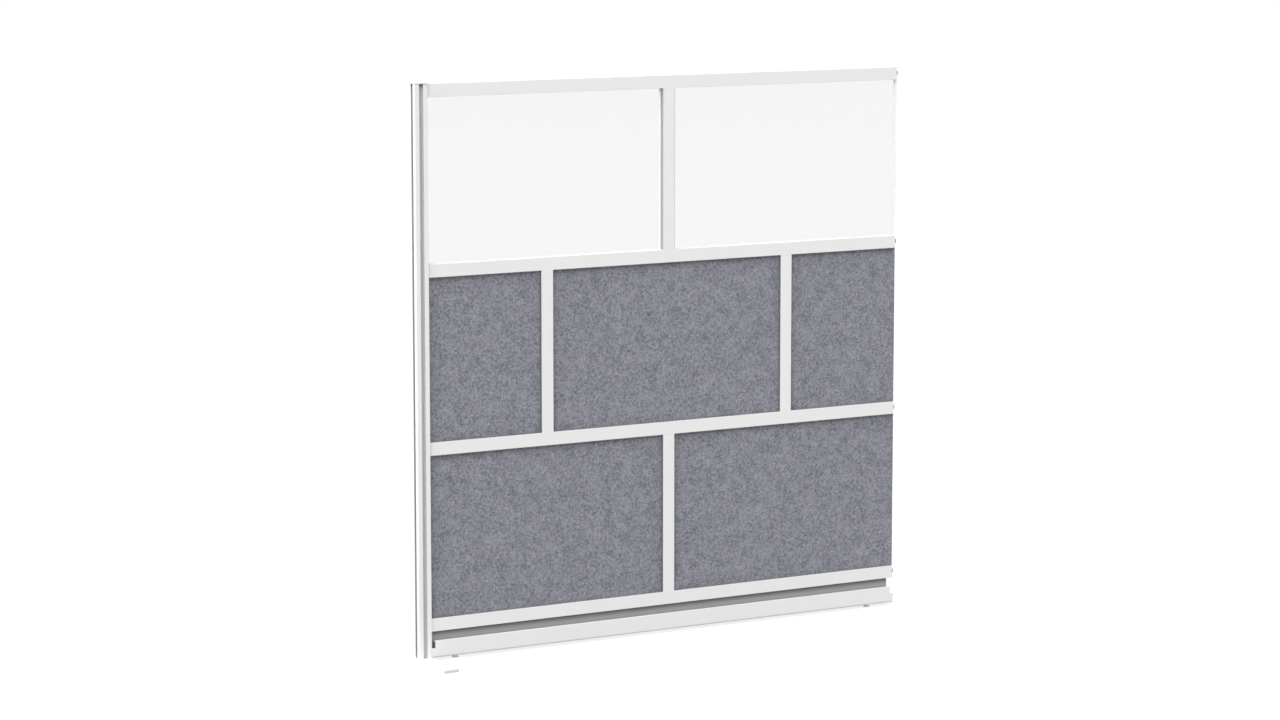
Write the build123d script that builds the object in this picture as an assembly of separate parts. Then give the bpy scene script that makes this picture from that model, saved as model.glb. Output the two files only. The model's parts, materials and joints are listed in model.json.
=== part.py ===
from build123d import *
import os
from math import radians, sin

# Acoustic divider screen: one post, four rails and three rows of panels.
# X runs along the wall from the post's axis, Y from front to back, Z up.
# All lengths are millimetres and z = 0 is the floor.

# Driving sizes of the whole screen
frame_height = 1778.0  # top of the post and of the top rail
rail_reach = 1724.5  # from the post's axis to the free ends of the rails
bottom_rail_underside = 91.0  # height above the floor

# Post with a T slot on each face
post_width = 43.0
post_corner_radius = 1.2
slot_mouth = 14.0
slot_lip = 3.0
slot_pocket_width = 18.0
slot_depth = 11.5
slot_pocket_chamfer = 3.6
post_bore = 8.5
post_port = 5.2
post_port_offset = 15.0

# Cap on the post
cap_overhang = 1.0
cap_thickness = 2.0
cap_corner_radius = 1.5
cap_edge_radius = 0.6
cap_peg_length = 16.0
cap_peg_play = 0.1

# Foot bar
foot_length = 392.0
foot_width = 52.0
foot_thickness = 10.0
foot_corner_radius = 5.0
foot_edge_chamfer = 1.0

# Rails and mullions share one hollow section
rail_height = 41.0
rail_depth = 30.0
rail_wall = 2.0
rail_edge_radius = 0.8
groove_width = 10.0
groove_depth = 8.0
mullion_width = 41.0
mullion_shift = 4.0  # of the whole pattern, from the middle of the rails towards the post

# Panels
felt_thickness = 9.0
felt_edge_radius = 0.8
pane_thickness = 6.0
panel_insert = 7.0  # into the groove above and the mullions' grooves
panel_seat_gap = 0.3  # over the floor of the groove below
slot_insert = 6.0  # into a post's slot, this one's or the next one's
trim_width = 7.0
trim_wall = 1.5
trim_gap = 0.5
trim_play = 0.05
wedge_height = 40.0
wedge_length = 5.0
wedge_inset = 60.0
wedge_play = 0.1
gasket_height = 6.5
gasket_setback = 0.5
seal_thickness = 1.0
seal_setback = 0.5  # behind the rails' front and back faces
seal_end_gap = 2.0  # at the post and at the free end

# Lock in each rail end: housing, hook and quarter-turn cam
housing_length = 54.0
housing_recess = 0.6
housing_play = 0.2
hook_thickness = 6.0
hook_height = 16.0
hook_play = 0.15
hook_travel = 3.0
hook_grip_gap = 0.2
hook_nose_length = 5.0
hook_nose_radius = 5.0
hook_nose_play = 0.4
hook_nose_chamfer = 3.4
hook_tail = 6.0
hook_tail_room = 1.0
cam_inset = 20.0
cam_journal = 14.0
cam_disc = 7.0
cam_turn = 90.0
cam_bore_play = 0.05
cam_end_play = 0.2
cam_window_play = 0.12
cam_window_rise = 0.4
cam_socket = 5.0
cam_socket_depth = 5.0
cam_mark_width = 1.0
cam_mark_depth = 0.6
cam_access = 9.0
lock_screw_inset = 43.0
lock_screw_size = 4.0
lock_screw_length = 10.0

# Screws
screw_play = 0.1
countersink_share = 1.9  # head diameter as a share of the screw's size
socket_share = 0.6  # socket across flats as a share of the screw's size
socket_depth_share = 0.5
head_setback = 0.2
foot_screw_size = 5.0
foot_screw_length = 32.0
shoe_screw_size = 5.0

# Connectors between mullions and rails
connector_length = 26.0
connector_play = 0.2
spigot_play = 0.3
connector_screw_size = 5.0
connector_head_size = 8.5
connector_head_height = 5.0
connector_screw_bite = 3.0
grub_screw_size = 5.0
grub_screw_length = 7.0
grub_screw_inset = 13.0

# Base web, shoe and what is inside the shoe
web_thickness = 4.0
web_post_gap = 2.0
web_free_gap = 14.0
web_tongue_length = 34.0  # at the post's end, seen through the shoe's notch
web_tongue_depth = 30.0  # below the shoe's top
web_seat_gap = 0.3
web_flange_width = 34.0
web_flange_thickness = 2.5
web_flange_play = 0.2
packer_height = 6.5
shoe_depth = 42.0
shoe_top = 62.0
shoe_floor_gap = 9.0
shoe_wall = 2.5
shoe_lip = 8.0  # depth of the top wall on each side of the web
shoe_end_gap = 0.5
shoe_bottom_radius = 6.0
shoe_top_radius = 0.8
notch_width = 12.0
notch_height = 22.3
foot_relief = 0.4  # between the shoe and the foot bar
shoe_block_length = 44.0
shoe_block_play = 0.3
shoe_block_inset = 90.0  # from the shoe's end to the middle of a leveller block
shoe_screw_spacing = 30.0

# Levellers
pad_diameter = 20.0
pad_height = 3.2
pad_edge = 0.8
pad_recess_depth = 1.5
stud_foot_diameter = 12.0
stud_foot_play = 0.1
stud_diameter = 10.0
stud_bore_play = 0.06
stud_top_gap = 4.0
stud_hex = 14.0
stud_hex_gap = 0.25
stud_hole = 16.0
stud_tip_chamfer = 1.0

overrun = 5.0  # past a face, for every cut

# Places worked out from the sizes above
post_face = post_width / 2
slot_floor = post_face - slot_depth
rail_pitch = (frame_height - rail_height - bottom_rail_underside) / 3
rail_undersides = [bottom_rail_underside + k * rail_pitch for k in (3, 2, 1, 0)]
rail_names = ["top", "upper", "lower", "bottom"]
rail_middles = [z + rail_height / 2 for z in rail_undersides]
row_spans = [(low + rail_height, high) for high, low in zip(rail_undersides, rail_undersides[1:])]
chamber_height = rail_height - 2 * (groove_depth + rail_wall)
chamber_depth = rail_depth - 2 * rail_wall
mullion_chamber = mullion_width - 2 * (groove_depth + rail_wall)
pattern_middle = (post_face + rail_reach) / 2 - mullion_shift
stagger = (rail_reach - post_face + mullion_width) / 4
row_mullions = [
    [("top_mullion", pattern_middle)],
    [("left_mullion", pattern_middle - stagger), ("right_mullion", pattern_middle + stagger)],
    [("bottom_mullion", pattern_middle)],
]
row_panels = [
    ["frosted_pane_left", "frosted_pane_right"],
    ["felt_middle_left", "felt_middle_centre", "felt_middle_right"],
    ["felt_lower_left", "felt_lower_right"],
]
hook_drawn_reach = slot_lip + hook_grip_gap + hook_nose_length
cam_offset = hook_travel / 2 / sin(radians(cam_turn / 2))
shoe_start = post_face + shoe_end_gap
shoe_finish = rail_reach - shoe_end_gap
leveller_places = {"left": shoe_start + shoe_block_inset, "right": shoe_finish - shoe_block_inset}

os.makedirs("parts", exist_ok=True)


def save(name, solids):
    """Write one node from one solid or a list of separate solids."""
    group = solids if isinstance(solids, list) else [solids]
    pieces = [piece for item in group for piece in item.solids()]
    export_step(Compound(children=pieces) if len(pieces) > 1 else pieces[0], f"parts/{name}.step")


def both(size, middle=0):
    """Low and high place of a size that is centred on a middle."""
    return middle - size / 2, middle + size / 2


def block(x_span, y_span, z_span):
    """Box between low and high places on each axis."""
    spans = [sorted(span) for span in (x_span, y_span, z_span)]
    corner = [low for low, high in spans]
    size = [high - low for low, high in spans]
    return Pos(*corner) * Box(*size, align=(Align.MIN, Align.MIN, Align.MIN))


def rod(start, direction, diameter, length):
    """Round bar from a point along a direction."""
    return extrude(Plane(origin=start, z_dir=direction) * Circle(diameter / 2), amount=length)


def hex_bar(start, direction, flats, length):
    """Hexagonal bar from a point along a direction."""
    outline = RegularPolygon(flats / 2, 6, major_radius=False)
    return extrude(Plane(origin=start, z_dir=direction) * outline, amount=length)


def cone(start, direction, wide, narrow, length):
    """Cone frustum that narrows from a point along a direction."""
    plane = Plane(origin=start, z_dir=direction)
    return plane * Cone(wide / 2, narrow / 2, length, align=(Align.CENTER, Align.CENTER, Align.MIN))


def along(start, direction, distance):
    """Point a distance from another along a direction."""
    return tuple(Vector(*start) + Vector(*direction) * distance)


def countersunk_screw(start, direction, size, length):
    """Countersunk socket screw whose head is just below the surface at start."""
    head = size * countersink_share
    top = along(start, direction, head_setback)
    head_height = (head - size) / 2
    body = cone(top, direction, head, size, head_height)
    body += rod(along(top, direction, head_height), direction, size, length - head_height - head_setback)
    return body - hex_bar(top, direction, size * socket_share, size * socket_depth_share)


def countersunk_hole(start, direction, size, length):
    """Hole for a countersunk screw that enters at start."""
    hole = size + 2 * screw_play
    head = size * countersink_share + 2 * screw_play
    mouth = rod(along(start, direction, -overrun), direction, head, overrun + head_setback)
    sink = cone(along(start, direction, head_setback), direction, head, hole, (head - hole) / 2)
    return mouth + sink + rod(start, direction, hole, length)


# Post, cap and foot


def post_profile():
    """Square section with a T slot on each face, a centre bore and four screw ports."""
    section = fillet(Rectangle(post_width, post_width).vertices(), post_corner_radius)
    pocket = slot_pocket_width / 2
    pocket_start = post_face - slot_lip
    shoulder = slot_floor + slot_pocket_chamfer
    narrow = pocket - slot_pocket_chamfer
    outline = [
        (pocket_start, pocket),
        (shoulder, pocket),
        (slot_floor, narrow),
        (slot_floor, -narrow),
        (shoulder, -pocket),
        (pocket_start, -pocket),
    ]
    mouth = Pos(pocket_start, 0) * Rectangle(
        slot_lip + overrun, slot_mouth, align=(Align.MIN, Align.CENTER)
    )
    slot = Polygon(*outline, align=None) + mouth
    for quarter in range(4):
        section -= Rot(0, 0, 90 * quarter) * slot
        section -= Rot(0, 0, 90 * quarter) * Pos(post_port_offset, post_port_offset) * Circle(post_port / 2)
    return section - Circle(post_bore / 2)


def make_post():
    """Extruded post between foot and cap."""
    return extrude(Pos(0, 0, foot_thickness) * post_profile(), amount=frame_height - foot_thickness)


def make_cap():
    """Thin plate with a peg that plugs into the post's bore."""
    width = post_width + 2 * cap_overhang
    plate = fillet(Rectangle(width, width).vertices(), cap_corner_radius)
    peg = rod((0, 0, frame_height), (0, 0, -1), post_bore - 2 * cap_peg_play, cap_peg_length)
    plate = extrude(Pos(0, 0, frame_height) * plate, amount=cap_thickness)
    return fillet(plate.faces().sort_by(Axis.Z)[-1].edges(), cap_edge_radius) + peg


def foot_screw_places():
    """The four ports of the post, where the foot's screws go."""
    return [(a * post_port_offset, b * post_port_offset, 0) for a in (-1, 1) for b in (-1, 1)]


def make_foot():
    """Flat bar with rounded corners, softened edges and four countersunk holes."""
    outline = fillet(Rectangle(foot_width, foot_length).vertices(), foot_corner_radius)
    bar = extrude(outline, amount=foot_thickness)
    bar = chamfer(bar.faces().sort_by(Axis.Z)[-1].edges(), foot_edge_chamfer)
    for place in foot_screw_places():
        bar -= countersunk_hole(place, (0, 0, 1), foot_screw_size, foot_thickness + overrun)
    return bar


# Rails and mullions


def bar_profile(height, groove_sides):
    """Hollow section with a panel groove on the named sides, local X the depth and Y the height."""
    section = fillet(Rectangle(rail_depth, height).vertices(), rail_edge_radius)
    section -= Rectangle(chamber_depth, height - 2 * (groove_depth + rail_wall))
    pocket_height = groove_depth - rail_wall
    pocket_width = (rail_depth - groove_width) / 2 - 2 * rail_wall
    for side in (-1, 1):
        middle = side * (height / 2 - rail_wall - pocket_height / 2)
        for face in (-1, 1):
            across = face * (groove_width / 2 + rail_wall + pocket_width / 2)
            section -= Pos(across, middle) * Rectangle(pocket_width, pocket_height)
        if side in groove_sides:
            groove = Rectangle(groove_width, groove_depth + overrun)
            section -= Pos(0, side * (height / 2 + (overrun - groove_depth) / 2)) * groove
        else:
            section -= Pos(0, middle) * Rectangle(groove_width, pocket_height)
    return section


def rail_mullion_places(index):
    """Mullions that meet a rail, each with the side of the rail that it meets."""
    above = row_mullions[index - 1] if index > 0 else []
    below = row_mullions[index] if index < len(row_mullions) else []
    return [(x, 1) for name, x in above] + [(x, -1) for name, x in below]


def make_rail(index):
    """One rail with its lock access holes, screw holes and connector holes."""
    middle = rail_middles[index]
    grooves = (-1,) if index == 0 else (-1, 1)
    plane = Plane(origin=(post_face, 0, middle), x_dir=(0, 1, 0), z_dir=(1, 0, 0))
    rail = extrude(plane * bar_profile(rail_height, grooves), amount=rail_reach - post_face)
    back = rail_depth / 2
    for end, out in ((post_face, -1), (rail_reach, 1)):
        access = (end - out * cam_inset, back + overrun, middle)
        rail -= rod(access, (0, -1, 0), cam_access, rail_wall + 2 * overrun)
        screw = (end - out * lock_screw_inset, back, middle)
        rail -= countersunk_hole(screw, (0, -1, 0), lock_screw_size, rail_wall + overrun)
    for x, side in rail_mullion_places(index):
        start = (x, 0, middle + side * rail_height / 2)
        hole = connector_screw_size + 2 * screw_play
        rail -= rod(start, (0, 0, -side), hole, groove_depth + rail_wall + overrun)
    return rail


def make_mullion(x, row_span):
    """Upright between two rails, with two grub screw holes in its back."""
    low, high = row_span
    plane = Plane(origin=(x, 0, low), x_dir=(0, 1, 0), z_dir=(0, 0, 1))
    mullion = extrude(plane * bar_profile(mullion_width, (-1, 1)), amount=high - low)
    for z in (low + grub_screw_inset, high - grub_screw_inset):
        hole = grub_screw_size + 2 * screw_play
        mullion -= rod((x, rail_depth / 2 + overrun, z), (0, -1, 0), hole, rail_wall + 2 * overrun)
    return mullion


def mullion_ends():
    """Every mullion end: its x, the rail face that it meets and the way into the mullion."""
    ends = []
    for mullions, (low, high) in zip(row_mullions, row_spans):
        for name, x in mullions:
            ends += [(x, low, 1), (x, high, -1)]
    return ends


def make_connector(x, face, up):
    """Block inside a mullion's end with a spigot in the rail's groove."""
    width = mullion_chamber - 2 * connector_play
    depth = chamber_depth - 2 * connector_play
    body = block(both(width, x), both(depth), (face, face + up * connector_length))
    spigot = groove_width - 2 * spigot_play
    body += block(both(width, x), both(spigot), (face - up * (groove_depth - spigot_play), face))
    hole = connector_screw_size + 2 * screw_play
    body -= rod((x, 0, face - up * (groove_depth + overrun)), (0, 0, up), hole, groove_depth + connector_length)
    seat = face + up * (connector_length - connector_head_height)
    body -= rod((x, 0, seat), (0, 0, up), connector_head_size + 2 * screw_play, connector_head_height + overrun)
    grub = grub_screw_size + 2 * screw_play
    start = (x, depth / 2 + overrun, face + up * grub_screw_inset)
    return body - rod(start, (0, -1, 0), grub, overrun + grub_screw_length)


def make_connector_screw(x, face, up):
    """Cylinder-head screw from the connector through the floor of the rail's groove."""
    seat = face + up * (connector_length - connector_head_height)
    tip = face - up * (groove_depth + rail_wall + connector_screw_bite)
    shank = rod((x, 0, seat), (0, 0, -up), connector_screw_size, abs(seat - tip))
    head = rod((x, 0, seat), (0, 0, up), connector_head_size, connector_head_height - head_setback)
    top = (x, 0, seat + up * (connector_head_height - head_setback))
    flats = connector_screw_size * socket_share
    return shank + head - hex_bar(top, (0, 0, -up), flats, connector_screw_size * socket_depth_share)


def make_grub_screw(x, face, up):
    """Set screw through the mullion's back wall into the connector."""
    start = (x, rail_depth / 2 - head_setback, face + up * grub_screw_inset)
    body = rod(start, (0, -1, 0), grub_screw_size, grub_screw_length)
    flats = grub_screw_size * socket_share
    return body - hex_bar(start, (0, -1, 0), flats, grub_screw_size * socket_depth_share)


# Panels and what holds them


def panel_spans(row):
    """Low and high x of each panel in a row, tongues in the grooves and slots included."""
    starts = [post_face - slot_insert]
    finishes = []
    for name, x in row_mullions[row]:
        finishes.append(x - mullion_width / 2 + panel_insert)
        starts.append(x + mullion_width / 2 - panel_insert)
    finishes.append(rail_reach + slot_insert)
    return list(zip(starts, finishes))


def panel_heights(row):
    """Low and high z of the panels in a row."""
    low, high = row_spans[row]
    return low - groove_depth + panel_seat_gap, high + panel_insert


def make_panel(x_span, z_span, thickness, edge_radius):
    """Flat board, its ends softened where an edge radius is given."""
    board = block(x_span, both(thickness), z_span)
    if edge_radius:
        board = fillet(board.edges().filter_by(Axis.Z), edge_radius)
    return board


def make_gaskets():
    """Strips at the front and back of the panes, in the rails' and mullion's grooves."""
    low, high = row_spans[0]
    name, x = row_mullions[0][0]
    sides = [(post_face, x - mullion_width / 2), (x + mullion_width / 2, rail_reach)]
    seat = pane_thickness / 2
    strips = []
    for face in (-1, 1):
        y_span = (face * seat, face * groove_width / 2)
        for x_span in sides:
            for z, way in ((low, -1), (high, 1)):
                z_span = (z + way * gasket_setback, z + way * (gasket_setback + gasket_height))
                strips.append(block(x_span, y_span, z_span))
        for way in (-1, 1):
            edge = x + way * (mullion_width / 2 - gasket_setback)
            strips.append(block((edge - way * gasket_height, edge), y_span, (low, high)))
    return strips


def bay_spans(row):
    """Low and high x of each opening between the uprights of a row."""
    starts = [post_face + seal_end_gap]
    finishes = []
    for name, x in row_mullions[row]:
        finishes.append(x - mullion_width / 2)
        starts.append(x + mullion_width / 2)
    finishes.append(rail_reach - seal_end_gap)
    return list(zip(starts, finishes))


def make_pane_seals():
    """Flat strips on the top mullion's sides, at the front and back of the panes."""
    name, x = row_mullions[0][0]
    strips = []
    for face in (-1, 1):
        y_span = (face * pane_thickness / 2, face * (rail_depth / 2 - seal_setback))
        for way in (-1, 1):
            edge = x + way * mullion_width / 2
            strips.append(block((edge, edge + way * seal_thickness), y_span, row_spans[0]))
    return strips


def make_felt_seals():
    """Thin frames around the felt, at its front and back, open towards the post and the free end."""
    frames = []
    for row in (1, 2):
        low, high = row_spans[row]
        bays = bay_spans(row)
        for place, (start, finish) in enumerate(bays):
            left = -overrun if place == 0 else seal_thickness
            right = -overrun if place == len(bays) - 1 else seal_thickness
            inside_x = (start + left, finish - right)
            inside_z = (low + seal_thickness, high - seal_thickness)
            for face in (-1, 1):
                y_span = (face * felt_thickness / 2, face * (rail_depth / 2 - seal_setback))
                frame = block((start, finish), y_span, (low, high))
                frames.append(frame - block(inside_x, both(rail_depth), inside_z))
    return frames


def make_edge_trim(edge, way):
    """U strip over the upright end of a pane, open towards the pane."""
    low, high = row_spans[0]
    z_span = (low + trim_gap, high - trim_gap)
    inside = pane_thickness + 2 * trim_play
    outer = block((edge - way * trim_width, edge + way * trim_wall), both(inside + 2 * trim_wall), z_span)
    slot = block((edge - way * (trim_width + overrun), edge + way * trim_play), both(inside), z_span)
    return outer - slot


def make_wedges():
    """Rubber wedges beside the felt in the post's slot, at the front and back."""
    wedges = []
    gap = (slot_mouth - felt_thickness) / 2
    for row in (1, 2):
        low, high = row_spans[row]
        for z in (low + wedge_inset, high - wedge_inset):
            for face in (-1, 1):
                y_span = (face * felt_thickness / 2, face * (felt_thickness / 2 + gap - wedge_play))
                x_span = (post_face - wedge_length, post_face)
                wedges.append(block(x_span, y_span, both(wedge_height, z)))
    return wedges


# Locks in the rail ends, each given by its rail's middle, its end and the way out


def lock_ends():
    """Every lock: its name, rail middle, end of the rail and the way out of it."""
    ends = []
    for name, middle in zip(rail_names, rail_middles):
        ends += [(f"{name}_left", middle, post_face, -1), (f"{name}_right", middle, rail_reach, 1)]
    return ends


def rest_phase(out):
    """Angle of the cam at rest: drawn in at this post, let out at the free end."""
    return cam_turn / 2 if out > 0 else -cam_turn / 2


def cam_shift(out):
    """How far the cam's disc and the hook stand from the cam's axis at rest, along the way out."""
    return cam_offset * sin(radians(rest_phase(out)))


def cam_rise():
    """How far the disc's centre stands above the cam's axis at rest."""
    return cam_offset * sin(radians(90 - cam_turn / 2))


def window_half_width():
    return cam_disc / 2 + cam_window_play


def window_half_height():
    return cam_disc / 2 + cam_offset + cam_window_rise


def make_housing(middle, end, out):
    """Block in the rail's chamber with the hook's channel and the cam's bore."""
    depth = chamber_depth - 2 * housing_play
    height = chamber_height - 2 * housing_play
    front = end - out * housing_recess
    body = block((front, end - out * housing_length), both(depth), both(height, middle))
    channel_y = both(hook_thickness + 2 * hook_play)
    channel_z = both(hook_height + 2 * hook_play, middle)
    inner = cam_inset + window_half_width() + hook_tail + hook_travel / 2 + hook_tail_room
    body -= block((front + out * overrun, end - out * inner), channel_y, channel_z)
    bore = cam_journal + 2 * cam_bore_play
    cam_x = end - out * cam_inset
    body -= rod((cam_x, 0, middle), (0, 1, 0), bore, depth / 2 + overrun)
    screw_x = end - out * lock_screw_inset
    start = (screw_x, depth / 2 + overrun, middle)
    return body - rod(start, (0, -1, 0), lock_screw_size + 2 * screw_play, overrun + lock_screw_length)


def make_hook(middle, end, out):
    """Flat hook with the cam's window and a nose that grips behind the slot's lip."""
    shift = cam_shift(out)
    drawn_shift = -hook_travel / 2
    tip = end + out * (hook_drawn_reach + shift - drawn_shift)
    window_x = end - out * (cam_inset - shift)
    tail = window_x - out * (window_half_width() + hook_tail)
    body = block((tail, tip), both(hook_thickness), both(hook_height, middle))
    nose_y = slot_pocket_width / 2 - hook_nose_play
    root = tip - out * hook_nose_length
    outline = [
        (root, 0),
        (root, nose_y),
        (tip - out * hook_nose_chamfer, nose_y),
        (tip, nose_y - hook_nose_chamfer),
        (tip, 0),
    ]
    nose = extrude(Polygon(*outline, align=None), amount=hook_height, dir=(0, 0, 1))
    body += Pos(0, 0, middle - hook_height / 2) * nose
    side = block((tail, tip), both(2 * nose_y), both(hook_height, middle))
    tip_edges = side.faces().sort_by(Axis.X)[-1 if out > 0 else 0].edges().filter_by(Axis.Y)
    body &= fillet(tip_edges, hook_nose_radius)
    window = block(
        both(2 * window_half_width(), window_x),
        both(hook_thickness + overrun),
        both(2 * window_half_height(), middle),
    )
    return body - window


def make_cam(middle, end, out):
    """Journal with an off-centre disc at the front and a hex socket at the back."""
    cam_x = end - out * cam_inset
    journal_start = hook_thickness / 2 + hook_play + cam_end_play
    journal_end = chamber_depth / 2 - housing_play - cam_end_play
    body = rod((cam_x, journal_start, middle), (0, 1, 0), cam_journal, journal_end - journal_start)
    disc = (cam_x + out * cam_shift(out), -hook_thickness / 2, middle + cam_rise())
    body += rod(disc, (0, 1, 0), cam_disc, journal_start + hook_thickness / 2)
    face = (cam_x, journal_end, middle)
    body -= hex_bar(face, (0, -1, 0), cam_socket, cam_socket_depth)
    mark_z = (middle + cam_socket / 2, middle + cam_journal / 2)
    mark_y = (journal_end - cam_mark_depth, journal_end + overrun)
    return body - block(both(cam_mark_width, cam_x), mark_y, mark_z)


def make_lock_screw(middle, end, out):
    """Countersunk screw from the rail's back into the housing."""
    start = (end - out * lock_screw_inset, rail_depth / 2, middle)
    return countersunk_screw(start, (0, -1, 0), lock_screw_size, lock_screw_length)


# Base web, shoe and levellers

flange_top = shoe_top - shoe_wall - web_flange_play
flange_underside = flange_top - web_flange_thickness
shoe_inner_radius = shoe_bottom_radius - shoe_wall
shoe_floor = shoe_floor_gap + shoe_wall
web_start = post_face + web_post_gap
web_finish = rail_reach - web_free_gap


def make_web():
    """Thin upright plate with a flange under the shoe's top wall and a tongue behind the notch."""
    top = bottom_rail_underside + groove_depth - web_seat_gap
    x_span = (web_start, web_finish)
    plate = block(x_span, both(web_thickness), (flange_underside, top))
    flange_start = shoe_start + notch_width
    flange = block((flange_start, web_finish), both(web_flange_width), (flange_underside, flange_top))
    tongue_x = (web_start, web_start + web_tongue_length)
    tongue = block(tongue_x, both(web_thickness), (shoe_top - web_tongue_depth, top))
    return plate + flange + tongue


def make_packers():
    """Strips that hold the web in the bottom rail's groove, front and back."""
    low = bottom_rail_underside + gasket_setback
    strips = []
    for face in (-1, 1):
        y_span = (face * web_thickness / 2, face * groove_width / 2)
        strips.append(block((web_start, web_finish), y_span, (low, low + packer_height)))
    return strips


def shoe_block_places():
    """Middle of each block in the shoe: two for the levellers and a plain one between them."""
    middle = (leveller_places["left"] + leveller_places["right"]) / 2
    return [leveller_places["left"], middle, leveller_places["right"]]


def make_shoe():
    """Hollow bar open at its ends, lipped over the web's flange and notched at its upper corners."""
    height = shoe_top - shoe_floor_gap
    middle = (shoe_top + shoe_floor_gap) / 2
    outline = Rectangle(shoe_depth, height)
    outline = fillet(outline.vertices().group_by(Axis.Y)[0], shoe_bottom_radius)
    outline = fillet(outline.vertices().group_by(Axis.Y)[-1], shoe_top_radius)
    hollow = Rectangle(shoe_depth - 2 * shoe_wall, height - 2 * shoe_wall)
    outline -= fillet(hollow.vertices().group_by(Axis.Y)[0], shoe_inner_radius)
    slot = Rectangle(shoe_depth - 2 * shoe_lip, shoe_wall + 2 * overrun)
    outline -= Pos(0, (height - shoe_wall) / 2) * slot
    plane = Plane(origin=(shoe_start, 0, middle), x_dir=(0, 1, 0), z_dir=(1, 0, 0))
    shoe = extrude(plane * outline, amount=shoe_finish - shoe_start)
    notch_z = (shoe_top - notch_height, shoe_top + overrun)
    for end, out in ((shoe_start, -1), (shoe_finish, 1)):
        notch_x = (end - out * notch_width, end + out * overrun)
        shoe -= block(notch_x, both(shoe_depth + overrun), notch_z)
    relief_end = foot_width / 2 + foot_relief
    relief_z = (shoe_floor_gap - overrun, foot_thickness + foot_relief)
    shoe -= block((post_face, relief_end), both(shoe_depth + overrun), relief_z)
    for place in leveller_places.values():
        shoe -= rod((place, 0, 0), (0, 0, 1), stud_hole, shoe_floor + overrun)
    for place in shoe_screw_places():
        shoe -= countersunk_hole(place, (0, 0, 1), shoe_screw_size, shoe_wall + overrun)
    return shoe


def shoe_screw_places():
    """Two screws under each block, on the shoe's underside."""
    return [
        (x + side * shoe_screw_spacing / 2, 0, shoe_floor_gap)
        for x in shoe_block_places()
        for side in (-1, 1)
    ]


def make_shoe_block(x):
    """Block between the shoe's floor and the web's flange, bored where it takes a leveller."""
    width = shoe_depth - 2 * shoe_wall - 2 * shoe_block_play
    body = block(both(shoe_block_length, x), both(width), (shoe_floor, flange_underside))
    body = fillet(body.edges().filter_by(Axis.X).group_by(Axis.Z)[0], shoe_inner_radius)
    for place in shoe_screw_places():
        body -= rod(place, (0, 0, 1), shoe_screw_size + 2 * screw_play, flange_underside)
    if x in leveller_places.values():
        bore = stud_diameter + 2 * stud_bore_play
        body -= rod((x, 0, 0), (0, 0, 1), bore, flange_underside - stud_top_gap / 2)
    return body


def make_shoe_screw(place):
    """Long countersunk screw through the shoe's floor and the block, up to the flange."""
    length = flange_underside - head_setback - shoe_floor_gap
    return countersunk_screw(place, (0, 0, 1), shoe_screw_size, length)


def make_pad(x):
    """Round pad with a shallow recess for the stud's foot."""
    disc = rod((x, 0, 0), (0, 0, 1), pad_diameter, pad_height)
    disc = chamfer(disc.edges().sort_by(Axis.Z)[-1], pad_edge)
    recess = stud_foot_diameter + 2 * stud_foot_play
    return disc - rod((x, 0, pad_height - pad_recess_depth), (0, 0, 1), recess, pad_recess_depth + overrun)


def make_stud(x):
    """Threaded stud with a hex collar under the shoe and a round foot in the pad."""
    foot = pad_height - pad_recess_depth
    hex_start = pad_height + stud_hex_gap
    hex_end = shoe_floor_gap - stud_hex_gap
    body = rod((x, 0, foot), (0, 0, 1), stud_foot_diameter, hex_start - foot)
    body += hex_bar((x, 0, hex_start), (0, 0, 1), stud_hex, hex_end - hex_start)
    top = flange_underside - stud_top_gap
    shank = rod((x, 0, hex_end), (0, 0, 1), stud_diameter, top - hex_end)
    return body + chamfer(shank.edges().sort_by(Axis.Z)[-1], stud_tip_chamfer)


save("post_extrusion", make_post())
save("post_cap", make_cap())
save("foot_plate", make_foot())
save(
    "foot_screws",
    [countersunk_screw(place, (0, 0, 1), foot_screw_size, foot_screw_length) for place in foot_screw_places()],
)
for index, name in enumerate(rail_names):
    save(f"{name}_rail", make_rail(index))
for mullions, span in zip(row_mullions, row_spans):
    for name, x in mullions:
        save(name, make_mullion(x, span))
save("mullion_connectors", [make_connector(*end) for end in mullion_ends()])
save("connector_screws", [make_connector_screw(*end) for end in mullion_ends()])
save("mullion_grub_screws", [make_grub_screw(*end) for end in mullion_ends()])
for row, names in enumerate(row_panels):
    thickness = pane_thickness if row == 0 else felt_thickness
    edge_radius = 0 if row == 0 else felt_edge_radius
    for name, x_span in zip(names, panel_spans(row)):
        save(name, make_panel(x_span, panel_heights(row), thickness, edge_radius))
save("pane_gaskets", make_gaskets())
save("pane_edge_trims", [make_edge_trim(post_face - slot_insert, -1), make_edge_trim(rail_reach + slot_insert, 1)])
save("pane_seals", make_pane_seals())
save("felt_seals", make_felt_seals())
save("felt_wedges", make_wedges())
save("lock_housings", [make_housing(middle, end, out) for name, middle, end, out in lock_ends()])
save("lock_screws", [make_lock_screw(middle, end, out) for name, middle, end, out in lock_ends()])
for name, middle, end, out in lock_ends():
    save(f"{name}_hook", make_hook(middle, end, out))
    save(f"{name}_cam", make_cam(middle, end, out))
save("base_web", make_web())
save("web_packers", make_packers())
save("base_shoe", make_shoe())
save("shoe_blocks", [make_shoe_block(x) for x in shoe_block_places()])
save("shoe_screws", [make_shoe_screw(place) for place in shoe_screw_places()])
for side, x in leveller_places.items():
    save(f"leveller_pad_{side}", make_pad(x))
    save(f"leveller_stud_{side}", make_stud(x))
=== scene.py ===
import json
import math

import bpy
from mathutils import Matrix, Vector

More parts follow.
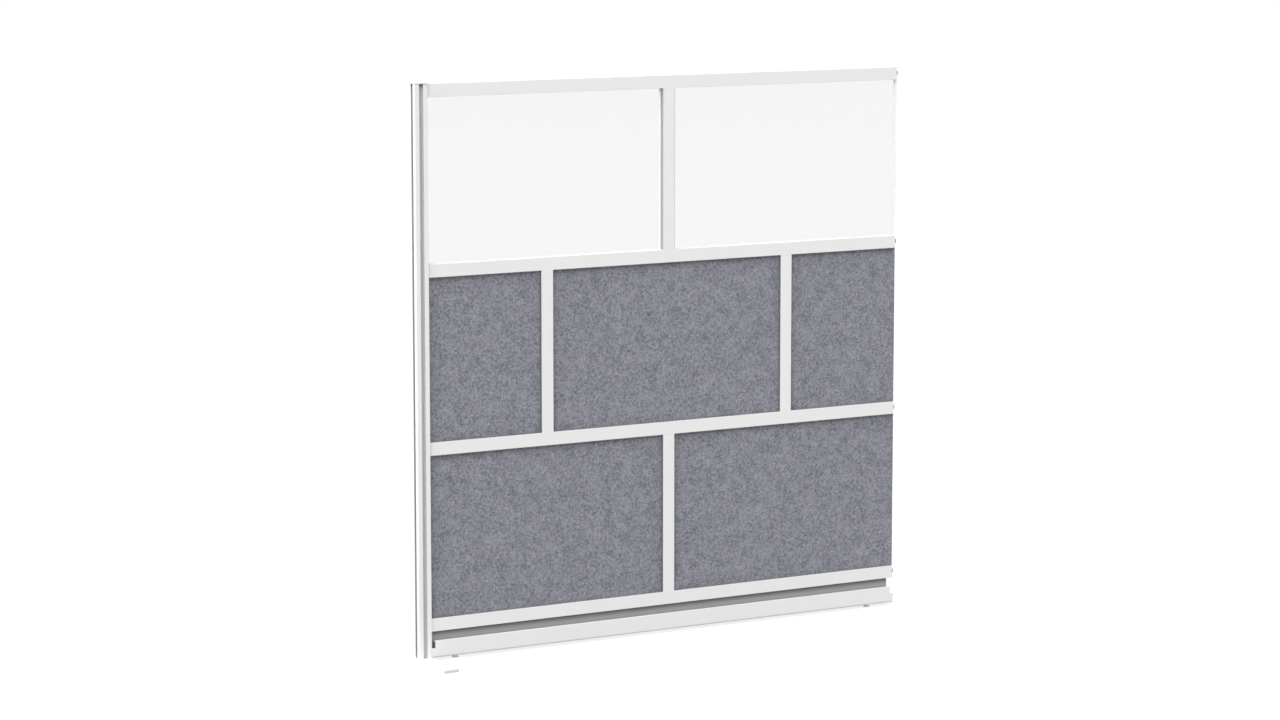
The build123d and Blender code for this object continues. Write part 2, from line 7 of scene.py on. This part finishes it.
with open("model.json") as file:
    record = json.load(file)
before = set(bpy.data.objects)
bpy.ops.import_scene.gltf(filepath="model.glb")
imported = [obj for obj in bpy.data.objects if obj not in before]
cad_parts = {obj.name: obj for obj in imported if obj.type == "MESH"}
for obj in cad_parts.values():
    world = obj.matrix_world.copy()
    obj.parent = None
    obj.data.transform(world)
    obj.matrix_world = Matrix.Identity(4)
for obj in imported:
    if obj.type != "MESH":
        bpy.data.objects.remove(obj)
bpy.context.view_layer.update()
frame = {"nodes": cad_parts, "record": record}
pieces = frame["nodes"]


# Shader maths


class Value:
    """What a node's socket gives, for writing shader maths as arithmetic."""

    def __init__(self, shading, socket):
        self.shading = shading
        self.socket = socket

    def maths(self, operation, *values):
        """A Math node on these values, in their order."""
        sockets = dict(enumerate(values))
        return self.shading.node("ShaderNodeMath", {"operation": operation}, sockets)

    def __add__(self, other):
        return self.maths("ADD", self, other)

    def __radd__(self, other):
        return self.maths("ADD", other, self)

    def __sub__(self, other):
        return self.maths("SUBTRACT", self, other)

    def __rsub__(self, other):
        return self.maths("SUBTRACT", other, self)

    def __mul__(self, other):
        return self.maths("MULTIPLY", self, other)

    def __rmul__(self, other):
        return self.maths("MULTIPLY", other, self)

    def __abs__(self):
        return self.maths("ABSOLUTE", self)

    def lowest(self, other):
        return self.maths("MINIMUM", self, other)

    def highest(self, other):
        return self.maths("MAXIMUM", self, other)

    def ramp(self, low, high):
        """0 below low, 1 above high and smooth between."""
        settings = {"interpolation_type": "SMOOTHSTEP"}
        sockets = {"Value": self, "From Min": low, "From Max": high}
        return self.shading.node("ShaderNodeMapRange", settings, sockets)


class Shading:
    """The nodes of one material or of the surroundings."""

    def __init__(self, tree):
        self.tree = tree

    def node(self, kind, settings, sockets, output=0):
        """Any node: its settings, the values or links of its sockets and the output to read."""
        made = self.tree.nodes.new(kind)
        for setting, value in settings.items():
            setattr(made, setting, value)
        for socket, value in sockets.items():
            self.feed(made.inputs[socket], value)
        return Value(self, made.outputs[output])

    def feed(self, socket, value):
        """Links a value that varies, and sets one that is the same all over."""
        if isinstance(value, Value):
            self.tree.links.new(value.socket, socket)
        else:
            socket.default_value = value

    def shown(self):
        """1 for rays that show what they meet, straight or through gloss or glass, else 0."""
        straight, gloss, glass = (
            self.node("ShaderNodeLightPath", {}, {}, ray)
            for ray in ("Is Camera Ray", "Is Glossy Ray", "Is Transmission Ray")
        )
        return straight.highest(gloss).highest(glass)


class Finish(Shading):
    """A material and the nodes that make it."""

    def __init__(self, name, **constants):
        self.material = bpy.data.materials.new(name)
        self.material.use_nodes = True
        super().__init__(self.material.node_tree)
        self.shader = self.tree.nodes["Principled BSDF"]
        self.place = self.node("ShaderNodeTexCoord", {}, {}, "Object")
        for socket, value in constants.items():
            self.set(socket.replace("_", " "), value)

    def set(self, name, value):
        self.feed(self.shader.inputs[name], value)

    def noise(self, scale, detail=2.0, roughness=0.5, at=None):
        """Soft random texture, with so many lumps to a metre."""
        sockets = {
            "Vector": at or self.place,
            "Scale": scale,
            "Detail": detail,
            "Roughness": roughness,
        }
        return self.node("ShaderNodeTexNoise", {}, sockets)

    def mix(self, factor, first, second):
        """The first colour at factor 0 and the second at 1."""
        sockets = {0: factor, 6: first, 7: second}
        return self.node("ShaderNodeMix", {"data_type": "RGBA"}, sockets, 2)

    def axis(self, letter, of=None):
        """A direction's part along one axis, or the place along it in metres."""
        return self.node("ShaderNodeSeparateXYZ", {}, {"Vector": of or self.place}, letter)

    def turned(self, angles, sizes):
        """The place on the object along turned axes, in units of the given sizes."""
        sockets = {"Vector": self.place, "Rotation": angles, "Scale": sizes}
        return self.node("ShaderNodeMapping", {"vector_type": "TEXTURE"}, sockets)

    def bumped(self, height, strength, distance):
        sockets = {"Height": height, "Strength": strength, "Distance": distance}
        self.set("Normal", self.node("ShaderNodeBump", {}, sockets))

    def grained(self, grain, rough, spread, strength, distance=0.0002):
        """Roughness and relief that both follow one grain."""
        self.set("Roughness", rough + spread * grain)
        self.bumped(grain, strength, distance)

    def clouded(self, level, shares, tints, scale, detail=2.0):
        """Base colour that drifts between two shares of a level, each with its tint."""
        first, second = (grey(level * share, tint) for share, tint in zip(shares, tints))
        colour = self.mix(self.noise(scale, detail), first, second)
        self.set("Base Color", colour)
        return colour


NO_TINT = (1.0, 1.0, 1.0)
YELLOWISH = (1.0, 1.0, 0.998)
GREENISH = (0.998, 1.0, 1.0)
BLUISH = (0.98, 0.99, 1.02)
STEELY = (0.98, 0.99, 1.0)
WARM = (1.0, 1.0, 0.99)


def grey(level, tint=NO_TINT):
    return tuple(level * part for part in tint) + (1.0,)


# Finishes. Lengths and heights are in metres, and a pair is where a change starts and ends.

# Painted shade in the post's slots: deeper in the side slots and just under the cap
SLOT_WALL = (0.0091, 0.0094)  # from the middle of a slot to its side wall
SLOT_MOUTH = (0.0195, 0.0213)  # out through the slot's lips, from the post's axis
SLOT_CORNER = (-0.0005, 0.0005)  # from the front and back slots to the side slots
SIDE_SLOT_SHADE = 0.75
CAP_SHADE = (1.764, 1.777)  # up the slots, to just under the cap
CAP_SHADE_SHARE = 0.35

FOOT_SHADE_TURN = (0.20, 0.45)  # how far a face turns forward, back or right, for the painted shade on the foot
WEB_PAINTED_SHADES = ((0.068, 0.087, 0.50), (0.083, 0.088, 0.30))  # start, end and share of the coat, for painted shade under the rail
SEAL_MIDDLE = (-0.001, 0.001)  # from the front of the panes to behind them

FIBRE = {"count": 5, "length": 0.0055, "width": 0.0007, "low": 0.58, "high": 0.72}
TUFT = {"count": 4, "length": 0.0085, "low": 0.56, "high": 0.78}
STRAND_LEAN = (0.15, 0.1)  # radians more for each layer, out of the board's face
BLOTCH_SHARE = 0.25
SPECK_SHARE = 0.69
FELT_LIFT = 0.03
FELT_SHADES = (0.32, 0.68)
FELT_DARK = (0.100, 0.101, 0.122, 1.0)
FELT_LIGHT = (0.346, 0.348, 0.406, 1.0)
TUFT_PALE = (0.470, 0.472, 0.540, 1.0)
TUFT_DEEP = (0.086, 0.087, 0.106, 1.0)
TUFT_SHARE = 0.62
FIBRE_PALE = (0.43, 0.44, 0.48, 1.0)
FIBRE_DEEP = (0.105, 0.108, 0.125, 1.0)
FIBRE_SHARE = 0.34
FELT_ROUGH = 0.9
FELT_ROUGH_SPREAD = 0.08
PALE_RISE = 0.5  # relief of the pale fibres, and so on, as shares of the bump
DARK_DIP = 0.3
NAP_RISE = 0.5
SPECK_RISE = 0.6

DRAG_SIZE = (0.0033, 0.0004, 0.0004)  # of the metals' fine drag marks
STRAIGHT = (0.0, 0.0, 0.0)


def coated(name):
    """A powder coat's sheen and faint orange peel, before its colour."""
    finish = Finish(name, IOR=1.5)
    peel = finish.noise(scale=900.0, detail=1.0)
    finish.grained(peel, rough=0.42, spread=0.10, strength=0.12)
    return finish


def slot_painted_shade(finish, outside, level):
    """The outside coat, with painted shade in the post's slots.

    The side slots get deeper painted shade, and so does every slot just under the cap.
    """
    along = abs(finish.axis("X"))
    across = abs(finish.axis("Y"))
    within_walls = 1 - along.lowest(across).ramp(*SLOT_WALL)
    behind_mouth = 1 - along.highest(across).ramp(*SLOT_MOUTH)
    sideways = (along - across).ramp(*SLOT_CORNER)
    coat = finish.mix(sideways, grey(level), grey(level * SIDE_SLOT_SHADE))
    under_cap_shade = finish.axis("Z").ramp(*CAP_SHADE)
    coat = finish.mix(under_cap_shade, coat, grey(level * CAP_SHADE_SHARE))
    return finish.mix(within_walls * behind_mouth, outside, coat)


def powder_coat(name, level, slot_shade_level=None):
    """White powder coat, with painted shade in the post's slots when a slot level is given."""
    finish = coated(name)
    coat = finish.clouded(level, (0.985, 1.012), (NO_TINT, YELLOWISH), scale=9.0, detail=3.0)
    if slot_shade_level:
        finish.set("Base Color", slot_painted_shade(finish, coat, slot_shade_level))
    return finish.material


def foot_coat_side_shade(name, level, shaded_side_level):
    """White powder coat with painted shade on the foot bar's faces that turn forward, back or
    right.
    """
    finish = coated(name)
    facing = finish.node("ShaderNodeTexCoord", {}, {}, "Normal")
    forward = finish.axis("Y", facing)
    rightward = finish.axis("X", facing)
    shaded_sides = (forward * forward).highest(rightward).ramp(*FOOT_SHADE_TURN)
    finish.set("Base Color", finish.mix(shaded_sides, grey(level), grey(shaded_side_level)))
    return finish.material


def web_coat_painted_shade(name, level):
    """Grey powder coat with painted shade towards the top of the web, where it enters the rail's
    groove.
    """
    finish = coated(name)
    height = finish.axis("Z")
    coat = grey(level)
    for start, end, share in WEB_PAINTED_SHADES:
        coat = finish.mix(height.ramp(start, end), coat, grey(level * share))
    finish.set("Base Color", coat)
    return finish.material


def strands(finish, first_turn, count, length, width, low, high):
    """Streaks of one size that lie every way over the board's face."""
    laid = None
    for step in range(count):
        turn = first_turn + math.pi * step / count
        angles = (STRAND_LEAN[0] * step, turn, STRAND_LEAN[1] * step)
        along = finish.turned(angles, (length, width, width))
        strand = finish.noise(scale=1.0, detail=1.5, roughness=0.6, at=along).ramp(low, high)
        laid = strand if laid is None else laid.highest(strand)
    return laid


def pressed_felt(name):
    """Grey felt: pale and dark fibres, the tufts that they gather in, and soft blotches."""
    finish = Finish(name, Sheen_Weight=0.12, Sheen_Roughness=0.6, IOR=1.3)
    pale_fibre = strands(finish, first_turn=0.23, **FIBRE)
    dark_fibre = strands(finish, first_turn=1.93, **FIBRE)
    pale_tuft = strands(finish, first_turn=0.61, width=0.0024, **TUFT)
    dark_tuft = strands(finish, first_turn=1.37, width=0.0026, **TUFT)
    blotch = finish.noise(scale=24.0)
    speck = finish.noise(scale=142.0, detail=3.0, roughness=0.60)
    nap = finish.noise(scale=900.0, roughness=0.6)
    shade = BLOTCH_SHARE * blotch + SPECK_SHARE * speck + FELT_LIFT
    felt = finish.mix(shade.ramp(*FELT_SHADES), FELT_DARK, FELT_LIGHT)
    felt = finish.mix(TUFT_SHARE * pale_tuft, felt, TUFT_PALE)
    felt = finish.mix(TUFT_SHARE * dark_tuft, felt, TUFT_DEEP)
    felt = finish.mix(FIBRE_SHARE * pale_fibre, felt, FIBRE_PALE)
    felt = finish.mix(FIBRE_SHARE * dark_fibre, felt, FIBRE_DEEP)
    finish.set("Base Color", felt)
    finish.set("Roughness", FELT_ROUGH + FELT_ROUGH_SPREAD * speck)
    fibres = PALE_RISE * pale_fibre - DARK_DIP * dark_fibre
    relief = fibres + NAP_RISE * nap + SPECK_RISE * speck
    finish.bumped(relief, strength=0.55, distance=0.0006)
    return finish.material


def frosted(name, level, rough):
    """Acrylic that lets light through, frosted by its roughness."""
    finish = Finish(name, Transmission_Weight=1.0, IOR=1.45)
    finish.clouded(level, (0.992, 1.008), (GREENISH, NO_TINT), scale=14.0)
    finish.grained(finish.noise(scale=1400.0), rough, spread=0.08, strength=0.08)
    return finish.material


def fine_grained(name, rough):
    """The fine grain of moulded plastic or rubber, before its colour."""
    finish = Finish(name, IOR=1.48)
    finish.grained(finish.noise(scale=1600.0), rough, spread=0.12, strength=0.15)
    return finish


def moulded(name, level, rough, tint=NO_TINT):
    """Moulded plastic or rubber of one colour, faintly clouded."""
    finish = fine_grained(name, rough)
    finish.clouded(level, (0.97, 1.02), (tint, tint), scale=40.0)
    return finish.material


def seal_with_painted_shade(name, front_shade_level, back_level, rough):
    """Rubber that is white behind the panes and grey in front of them, the grey a painted shade
    for the grooves' mouths.
    """
    finish = fine_grained(name, rough)
    behind = finish.axis("Y").ramp(*SEAL_MIDDLE)
    finish.set("Base Color", finish.mix(behind, grey(front_shade_level), grey(back_level)))
    return finish.material


def metal(name, level, rough, tint):
    """Plated or cast metal, with the faint drag of its making."""
    finish = Finish(name, Metallic=1.0)
    finish.clouded(level, (0.88, 1.0), (tint, tint), scale=160.0)
    along = finish.turned(STRAIGHT, DRAG_SIZE)
    drag = finish.noise(scale=1.0, roughness=0.6, at=along)
    finish.grained(drag, rough, spread=0.16, strength=0.12, distance=0.0001)
    return finish.material


finishes = {
    "white_coat": powder_coat("white_coat", level=0.80),
    # painted shade in the post's slots
    "post_coat_slot_shade": powder_coat("post_coat_slot_shade", level=0.80, slot_shade_level=0.60),
    # painted shade on the foot bar's front, back and right faces
    "foot_coat_side_shade": foot_coat_side_shade("foot_coat_side_shade", level=0.80, shaded_side_level=0.66),
    # painted shade at the top of the web, under the rail
    "grey_coat": web_coat_painted_shade("grey_coat", level=0.36),
    "grey_felt": pressed_felt("grey_felt"),
    "frosted_acrylic": frosted("frosted_acrylic", level=0.848, rough=0.12),
    "clear_plastic": moulded("clear_plastic", level=0.92, rough=0.25),
    "pale_plastic": moulded("pale_plastic", level=0.86, rough=0.30),
    "white_plastic": moulded("white_plastic", level=0.76, rough=0.45),
    "white_rubber": moulded("white_rubber", level=0.68, rough=0.65),
    "grey_plastic": moulded("grey_plastic", level=0.56, rough=0.45),
    # painted shade on the seals' fronts, in the grooves' mouths
    "mid_grey_rubber": seal_with_painted_shade(
        "mid_grey_rubber", front_shade_level=0.33, back_level=0.88, rough=0.60
    ),
    "dark_grey_rubber": moulded("dark_grey_rubber", level=0.15, rough=0.60, tint=BLUISH),
    "dark_zinc": metal("dark_zinc", level=0.16, rough=0.40, tint=BLUISH),
    "zinc_steel": metal("zinc_steel", level=0.62, rough=0.30, tint=STEELY),
    "zinc_cast": metal("zinc_cast", level=0.55, rough=0.42, tint=STEELY),
    "cast_aluminium": metal("cast_aluminium", level=0.66, rough=0.45, tint=WARM),
}

# The white coat has painted shade over these two, in the post's slots and on the foot's sides, so
# each has its own version of it
own_finish = {"post_extrusion": "post_coat_slot_shade", "foot_plate": "foot_coat_side_shade"}

for part in frame["record"]["subparts"]:
    mesh = pieces[part["node"]].data
    mesh.materials.clear()
    mesh.materials.append(finishes[own_finish.get(part["node"], part["material_slot"])])

# The lamps' light reaches what is behind the frosted panes
for pane in ("frosted_pane_left", "frosted_pane_right"):
    pieces[pane].visible_shadow = False


# Floor, lights and camera. Lengths are in metres and angles in degrees.

WORLD_LEVEL = 0.28
FLOOR_HALF = 30.0
FLOOR_BOUNCE = 0.37  # the floor's grey for the light that it throws back
FLOOR_SHOWN = 0.20  # its grey where it is seen
FLOOR_LIFT = 0.78  # its glow where it is seen, which makes it white

CAMERA_PLACE = (-4.88647, -9.8724, 2.48165)
CAMERA_TURN = 29.82  # rightward from straight across the screen
CAMERA_TILT = 8.0  # downward
CAMERA_LENS = 102.45  # millimetres, on a sensor of the width below
SENSOR_WIDTH = 36.0
VIEW_END = 100.0


def stage_floor():
    """Pale floor that shows white to the camera and keeps the screen's shadow."""
    near, far = -FLOOR_HALF, FLOOR_HALF
    mesh = bpy.data.meshes.new("floor")
    corners = [(near, near, 0), (far, near, 0), (far, far, 0), (near, far, 0)]
    mesh.from_pydata(corners, [], [(0, 1, 2, 3)])
    finish = Finish(
        "floor_white", Roughness=0.9, Specular_IOR_Level=0.0, Emission_Strength=FLOOR_LIFT
    )
    shown = finish.shown()
    finish.set("Base Color", finish.mix(shown, grey(FLOOR_BOUNCE), grey(FLOOR_SHOWN)))
    finish.set("Emission Color", finish.mix(shown, grey(0.0), grey(1.0)))
    mesh.materials.append(finish.material)
    floor = bpy.data.objects.new("floor", mesh)
    bpy.context.scene.collection.objects.link(floor)


def light_world():
    """Even surrounding light, and white where the camera looks past the floor."""
    world = bpy.data.worlds.new("surroundings")
    bpy.context.scene.world = world
    world.use_nodes = True
    shading = Shading(world.node_tree)
    ground = world.node_tree.nodes["Background"]
    shading.feed(ground.inputs["Color"], grey(1.0))
    shading.feed(ground.inputs["Strength"], WORLD_LEVEL)
    lighting = Value(shading, ground.outputs[0])
    white = shading.node("ShaderNodeBackground", {}, {"Color": grey(1.0), "Strength": 1.0})
    sockets = {"Fac": shading.shown(), 1: lighting, 2: white}
    either = shading.node("ShaderNodeMixShader", {}, sockets)
    shading.feed(world.node_tree.nodes["World Output"].inputs["Surface"], either)


def soft_sky_lamp(name, source, spread, strength):
    """Even light from a wide patch of sky, given by the way to it."""
    lamp = bpy.data.lights.new(name, "SUN")
    lamp.angle = math.radians(spread)
    lamp.energy = strength
    holder = bpy.data.objects.new(name, lamp)
    bpy.context.scene.collection.objects.link(holder)
    holder.rotation_euler = (-Vector(source)).to_track_quat("-Z", "Y").to_euler()


def place_camera():
    """Camera at the photograph's place, looking at the screen from the left and a little down."""
    turn = math.radians(CAMERA_TURN)
    tilt = math.radians(CAMERA_TILT)
    level = math.cos(tilt)
    ahead = Vector((math.sin(turn) * level, math.cos(turn) * level, -math.sin(tilt)))
    right = Vector((math.cos(turn), -math.sin(turn), 0.0))
    above = right.cross(ahead)
    camera = bpy.data.objects.new("camera", bpy.data.cameras.new("camera"))
    bpy.context.scene.collection.objects.link(camera)
    stand = Matrix((right, above, -ahead)).transposed().to_4x4()
    stand.translation = Vector(CAMERA_PLACE)
    camera.matrix_world = stand
    camera.data.sensor_width = SENSOR_WIDTH
    camera.data.lens = CAMERA_LENS
    camera.data.clip_end = VIEW_END
    bpy.context.scene.camera = camera


stage_floor()
light_world()
soft_sky_lamp("top_lamp", source=(-0.2, -0.50, 1.0), spread=70.0, strength=2.30)
soft_sky_lamp("left_lamp", source=(-1.0, -0.34, 0.42), spread=64.0, strength=2.32)
soft_sky_lamp("back_lamp", source=(-0.5, 0.9, 0.5), spread=70.0, strength=1.8)
soft_sky_lamp("right_lamp", source=(1.0, 0.1, 0.4), spread=70.0, strength=1.2)
place_camera()
bpy.context.scene.view_settings.view_transform = "Standard"
